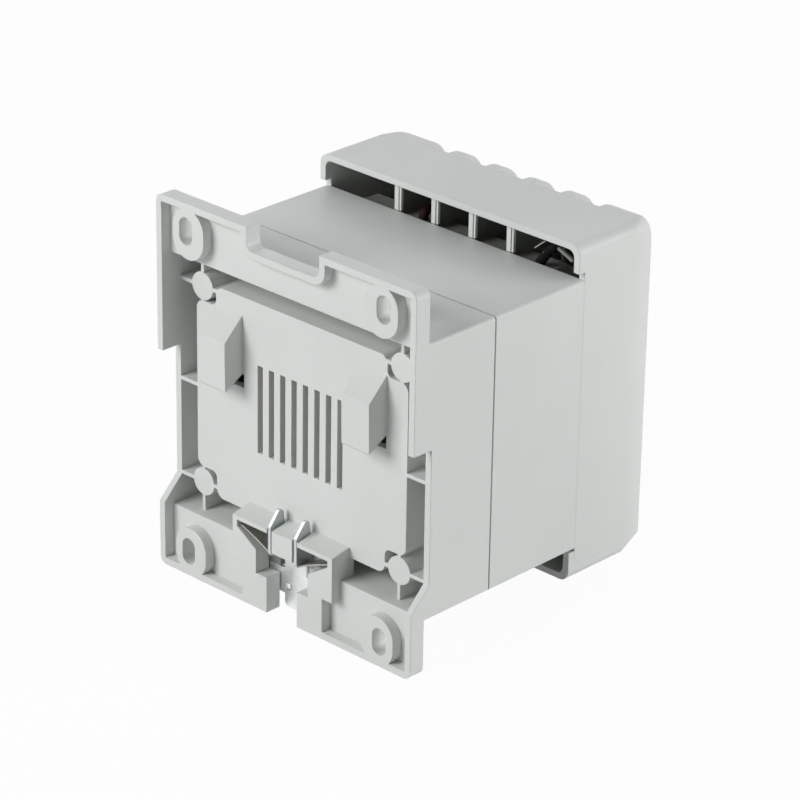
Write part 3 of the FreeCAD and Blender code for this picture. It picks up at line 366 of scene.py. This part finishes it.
def add_wire(name, radius, finish, *points):
    """Short insulated lead along points of (across, depth, height)."""
    curve = bpy.data.curves.new(name, "CURVE")
    curve.dimensions = "3D"
    curve.bevel_depth = radius * MM
    curve.bevel_resolution = 6
    curve.use_fill_caps = True
    line = curve.splines.new("NURBS")
    line.points.add(len(points) - 1)
    for point, (x, d, z) in zip(line.points, points):
        point.co = (x * MM, REAR - d * MM, z * MM, 1.0)
    line.order_u = 3
    line.use_endpoint_u = True
    curve.materials.append(finish)
    wire = bpy.data.objects.new(name, curve)
    bpy.context.scene.collection.objects.link(wire)
    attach(wire, "housing")


def add_piece(name, slot, *solids, finish=None):
    """One object made of closed solids, in its slot's finish or in one of its own."""
    shape = bmesh.new()
    for points, faces in solids:
        verts = [shape.verts.new((x * MM, REAR - d * MM, z * MM)) for x, d, z in points]
        for face in faces:
            shape.faces.new([verts[index] for index in face])
    bmesh.ops.recalc_face_normals(shape, faces=shape.faces)
    mesh = bpy.data.meshes.new(name)
    shape.to_mesh(mesh)
    shape.free()
    piece = bpy.data.objects.new(name, mesh)
    bpy.context.scene.collection.objects.link(piece)
    mesh.materials.append(finish or finishes[slot])
    shade_by_angle(piece)
    return piece


def rectangle(first, last, low, high):
    """Outline from first to last across, and from low to high."""
    return [(first, low), (last, low), (last, high), (first, high)]


def mirrored(points):
    """An outline given for +X, closed by its mirror image."""
    return [*points, *((-x, z) for x, z in reversed(points))]


def arc(centre, radius, first, last, steps):
    """Points on an arc, angles in degrees."""
    turns = [math.radians(first + (last - first) * step / steps) for step in range(steps + 1)]
    return [(centre[0] + radius * math.cos(t), centre[1] + radius * math.sin(t)) for t in turns]


def add_latch():
    """Sheet-metal latch: slide plate with its hole and slit, and two ears with round tips."""
    plate = mirrored([
        (3.15, 1.0), (3.74, 2.1), (3.74, 4.4), (9.05, 4.4), (9.05, 11.3),
        (3.75, 11.3), (3.75, 15.9), (4.85, 15.9), (4.85, 21.5),
    ])
    hole = rectangle(2.0, 3.3, 5.4, 7.3)
    slit = rectangle(1.35, 1.55, 5.75, 7.4)
    backing = rectangle(-2.6, 2.5, 4.3, 7.3)
    slide = prism("depth", PLATE_DEPTH, PLATE_DEPTH + SHEET, plate, hole, slit)
    latch = add_piece("latch_sheet", "zinc_steel", slide, prism("depth", 5.75, 5.95, backing))
    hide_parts("rail_latch")
    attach(latch, "latch")
    foot = arc((1.15, 16.9), 1.0, 270, 180, 5)
    tip = arc((3.7, 26.75), 1.0, 135, 0, 9)
    ear = [*foot, (0.15, 24.0), *tip, (4.95, 25.3), (5.0, 16.6), (1.6, 16.6)]
    outer = EAR_INNER + SHEET
    pair = [prism("across", side * EAR_INNER, side * outer, ear) for side in (1, -1)]
    # The ears get a darker copy of the plate's zinc as painted shade, to damp their glare; they
    # are the same plated sheet as the plate.
    dull = plated_metal("zinc_painted_shade", SHADED_ZINC, 0.5, (1.0, 0.08, 1.0))
    ears = add_piece("latch_ears", "zinc_steel", *pair, finish=dull)
    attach(ears, "latch")


def leaf_height(x):
    """Height of the leaf spring's underside at this distance from the middle."""
    share = (x - LEAF_ROOT) / LEAF_REACH
    return LEAF_LOW + LEAF_RISE * ((1 + LEAF_BOW) * share - LEAF_BOW * share * share)


def add_leaf_spring():
    """Leaf spring: its middle moves with the latch, its outer ends stay in the housing."""
    spots = [LEAF_ROOT + LEAF_REACH * step / LEAF_STEPS for step in range(LEAF_STEPS + 1)]
    for side, name in ((1, "leaf_left"), (-1, "leaf_right")):
        lower = [(side * x, leaf_height(x)) for x in spots]
        upper = [(side * x, leaf_height(x) + LEAF_THICK) for x in reversed(spots)]
        half = add_piece(name, "spring_steel", prism("depth", 0.8, LEAF_FRONT, lower + upper))
        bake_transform(half)
        if name == "leaf_left":
            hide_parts("latch_spring")
    strip = rectangle(-LEAF_ROOT, LEAF_ROOT, LEAF_LOW, LEAF_LOW + LEAF_THICK)
    middle = add_piece("leaf_middle", "spring_steel", prism("depth", 1.7, LEAF_FRONT, strip))
    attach(middle, "latch")


def add_latch_guides():
    """Walls beside and behind the latch. The left guide is in the dark plastic as painted shade,
    for the shadow that falls there; the right one is in the housing's plastic.
    """
    # The left guide takes the dark plastic as painted shade; the right one keeps the housing's own
    # plastic.
    for side, name, slot in (
        (1, "latch_guide_left_painted_shade", "terminal_plastic"),
        (-1, "latch_guide_right", "housing_plastic"),
    ):
        wall = prism("depth", 4.6, 6.1, rectangle(side * 5.05, side * 9.3, 11.5, 16.2))
        stop = prism("depth", 5.8, 6.2, rectangle(side * 9.1, side * 11.0, 7.0, 11.6))
        guide = add_piece(name, slot, wall, stop)
        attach(guide, "housing")
    closing = prism("depth", 5.95, 6.15, rectangle(-5.0, 5.0, 10.4, 15.0))
    back = add_piece("latch_back", "housing_plastic", closing)
    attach(back, "housing")


def add_terminal_glimpses():
    """What shows in the wire openings: two leads, the edge of a clamp and a rib."""
    dark_sleeve = moulded_plastic("dark_sleeve", (0.005, 0.005, 0.005), 0.6, 0.1, shine=0.08)
    brown_sleeve = moulded_plastic("brown_sleeve", (0.012, 0.004, 0.002), 0.6, 0.1, shine=0.1)
    add_wire(
        "glimpsed_lead_dark", LEAD_RADIUS, dark_sleeve, (-28.2, 60.2, 86.6), (-29.8, 60.1, 88.9),
        (-31.6, 60.1, 91.2), (-33.4, 60.8, 93.0), (-34.0, 63.5, 93.4),
    )
    add_wire(
        "glimpsed_lead_brown", LEAD_RADIUS, brown_sleeve, (10.9, 60.3, 86.8), (10.9, 60.2, 88.6),
        (10.9, 61.6, 89.0), (10.9, 64.5, 89.0),
    )
    edge = [(-29.6, 92.6), (-26.4, 90.0), (-26.3, 90.25), (-29.5, 92.85)]
    dot = rectangle(-30.7, -30.3, 90.1, 90.5)
    bars = (prism("depth", 60.2, 60.6, edge), prism("depth", 58.95, 59.3, dot))
    clamp = add_piece("glimpsed_clamp", "tinned_brass", *bars)
    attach(clamp, "housing")
    tab = [(-38.6, 89.9), (-32.2, 92.6), (-32.5, 93.3), (-38.9, 90.6)]
    rib = add_piece("glimpsed_rib", "terminal_plastic", prism("depth", 60.1, 60.9, tab))
    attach(rib, "housing")


def add_cover_details():
    """Second ribs beside the posts in the wire openings, and the lower hood's upper corners."""
    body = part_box("middle_shell")
    under = body[0][2] / MM
    over = body[1][2] / MM
    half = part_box("front_cover")[1][0] / MM - 0.02
    body_start = HOOD_START + HOOD_OVERHANG
    rib_row = []
    for place in range(POSTS):
        x = POLE_SPACING * (place - (POSTS - 1) / 2)
        outline = rectangle(x - 1.45, x - 0.85, over + 0.15, over + 7.6)
        rib_row.append(prism("depth", body_start, body_start + 0.8, outline))
    ribs = add_piece("opening_ribs", "housing_plastic", *rib_row)
    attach(ribs, "housing")
    pair = []
    for side in (1, -1):
        outline = rectangle(side * (half - 1.75), side * half, under - 2.4, under - 0.45)
        pair.append(prism("depth", HOOD_START + 0.02, body_start, outline))
    corners = add_piece("hood_corners", "housing_plastic", *pair)
    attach(corners, "housing")


# Studio

def backdrop_white():
    """World that lights softly, and shows white to the camera and in reflections."""
    world = bpy.data.worlds.new("studio")
    world.use_nodes = True
    bpy.context.scene.world = world
    tree = world.node_tree
    tree.nodes.clear()
    output = tree.nodes.new("ShaderNodeOutputWorld")
    paths = tree.nodes.new("ShaderNodeLightPath")
    seen = tree.nodes.new("ShaderNodeMath")
    seen.operation = "MAXIMUM"
    reflected = tree.nodes.new("ShaderNodeMath")
    reflected.operation = "MAXIMUM"
    tree.links.new(paths.outputs["Is Glossy Ray"], reflected.inputs[0])
    tree.links.new(paths.outputs["Is Transmission Ray"], reflected.inputs[1])
    tree.links.new(paths.outputs["Is Camera Ray"], seen.inputs[0])
    tree.links.new(reflected.outputs[0], seen.inputs[1])
    dim = tree.nodes.new("ShaderNodeBackground")
    dim.inputs["Color"].default_value = (1.0, 1.0, 1.0, 1.0)
    dim.inputs["Strength"].default_value = WORLD_LEVEL
    white = tree.nodes.new("ShaderNodeBackground")
    white.inputs["Color"].default_value = (1.0, 1.0, 1.0, 1.0)
    white.inputs["Strength"].default_value = 1.0
    mix = tree.nodes.new("ShaderNodeMixShader")
    tree.links.new(seen.outputs[0], mix.inputs["Fac"])
    tree.links.new(dim.outputs[0], mix.inputs[1])
    tree.links.new(white.outputs[0], mix.inputs[2])
    tree.links.new(mix.outputs[0], output.inputs["Surface"])


def add_floor():
    """Plain floor under the part: white to the camera, with only a faint shadow left."""
    mesh = bpy.data.meshes.new("floor")
    corners = [(a, b, 0) for a, b in rectangle(-FLOOR_HALF, FLOOR_HALF, -FLOOR_HALF, FLOOR_HALF)]
    mesh.from_pydata(corners, [], [(0, 1, 2, 3)])
    floor = bpy.data.objects.new("floor", mesh)
    bpy.context.scene.collection.objects.link(floor)
    shader = Shader("floor_white")
    tone = shader.ramp(shader.noise(2.0, 1.0), [(0.3, 0.74), (0.7, 0.76)])
    shader.set(Roughness=0.9, Specular_IOR_Level=0.1)
    shader.finish(tone)
    glow = shader.add("ShaderNodeEmission")
    glow.inputs["Color"].default_value = (1.0, 1.0, 1.0, 1.0)
    glow.inputs["Strength"].default_value = 1.0
    paths = shader.add("ShaderNodeLightPath")
    either = shader.add("ShaderNodeMath", operation="MAXIMUM")
    shader.link(paths.outputs["Is Camera Ray"], either.inputs[0])
    shader.link(paths.outputs["Is Glossy Ray"], either.inputs[1])
    seen = shader.add("ShaderNodeMath", operation="MULTIPLY")
    seen.inputs[1].default_value = FLOOR_WHITE
    shader.link(either.outputs[0], seen.inputs[0])
    mix = shader.add("ShaderNodeMixShader")
    shader.link(seen.outputs[0], mix.inputs["Fac"])
    shader.link(shader.surface.outputs[0], mix.inputs[1])
    shader.link(glow.outputs[0], mix.inputs[2])
    shader.link(mix.outputs[0], shader.output.inputs["Surface"])
    mesh.materials.append(shader.material)


def add_light(name, place, size, power, colour=(1.0, 1.0, 1.0)):
    """A square soft light that faces the part."""
    data = bpy.data.lights.new(name, "AREA")
    data.shape = "SQUARE"
    data.size = size
    data.energy = power
    data.color = colour
    light = bpy.data.objects.new(name, data)
    light.location = place
    aim = Vector(LAMP_TARGET) - Vector(place)
    light.rotation_euler = aim.to_track_quat("-Z", "Y").to_euler()
    bpy.context.scene.collection.objects.link(light)
    return light


def add_camera():
    """Camera at the photograph's place, direction and field of view."""
    data = bpy.data.cameras.new("photo_camera")
    data.sensor_width = 36.0
    data.lens = CAMERA_LENS
    data.clip_start = 0.01
    camera = bpy.data.objects.new("photo_camera", data)
    right = Vector(CAMERA_RIGHT).normalized()
    up = Vector(CAMERA_UP).normalized()
    back = right.cross(up)
    turn = Matrix((right, up, back)).transposed().to_4x4()
    camera.matrix_world = Matrix.Translation(CAMERA_PLACE) @ turn
    bpy.context.scene.collection.objects.link(camera)
    bpy.context.scene.camera = camera


finishes = {slot: make() for slot, make in FINISHES.items()}
dress_nodes()
add_latch()
add_leaf_spring()
add_latch_guides()
add_terminal_glimpses()
add_cover_details()
backdrop_white()
add_floor()
add_light("rear_light", (0.45, 1.05, 0.63), 0.7, 12.7)
add_light("side_light", (-1.0, -0.6, 0.3), 0.8, 11.2)
add_light("top_light", (0.1, -0.15, 1.25), 1.0, 2.2, (0.95, 1.0, 1.0))
front_light = add_light("front_light", (1.0, -0.75, 0.35), 0.8, 5.0)
front_light.visible_glossy = False
add_camera()
bpy.context.scene.view_settings.view_transform = "Standard"
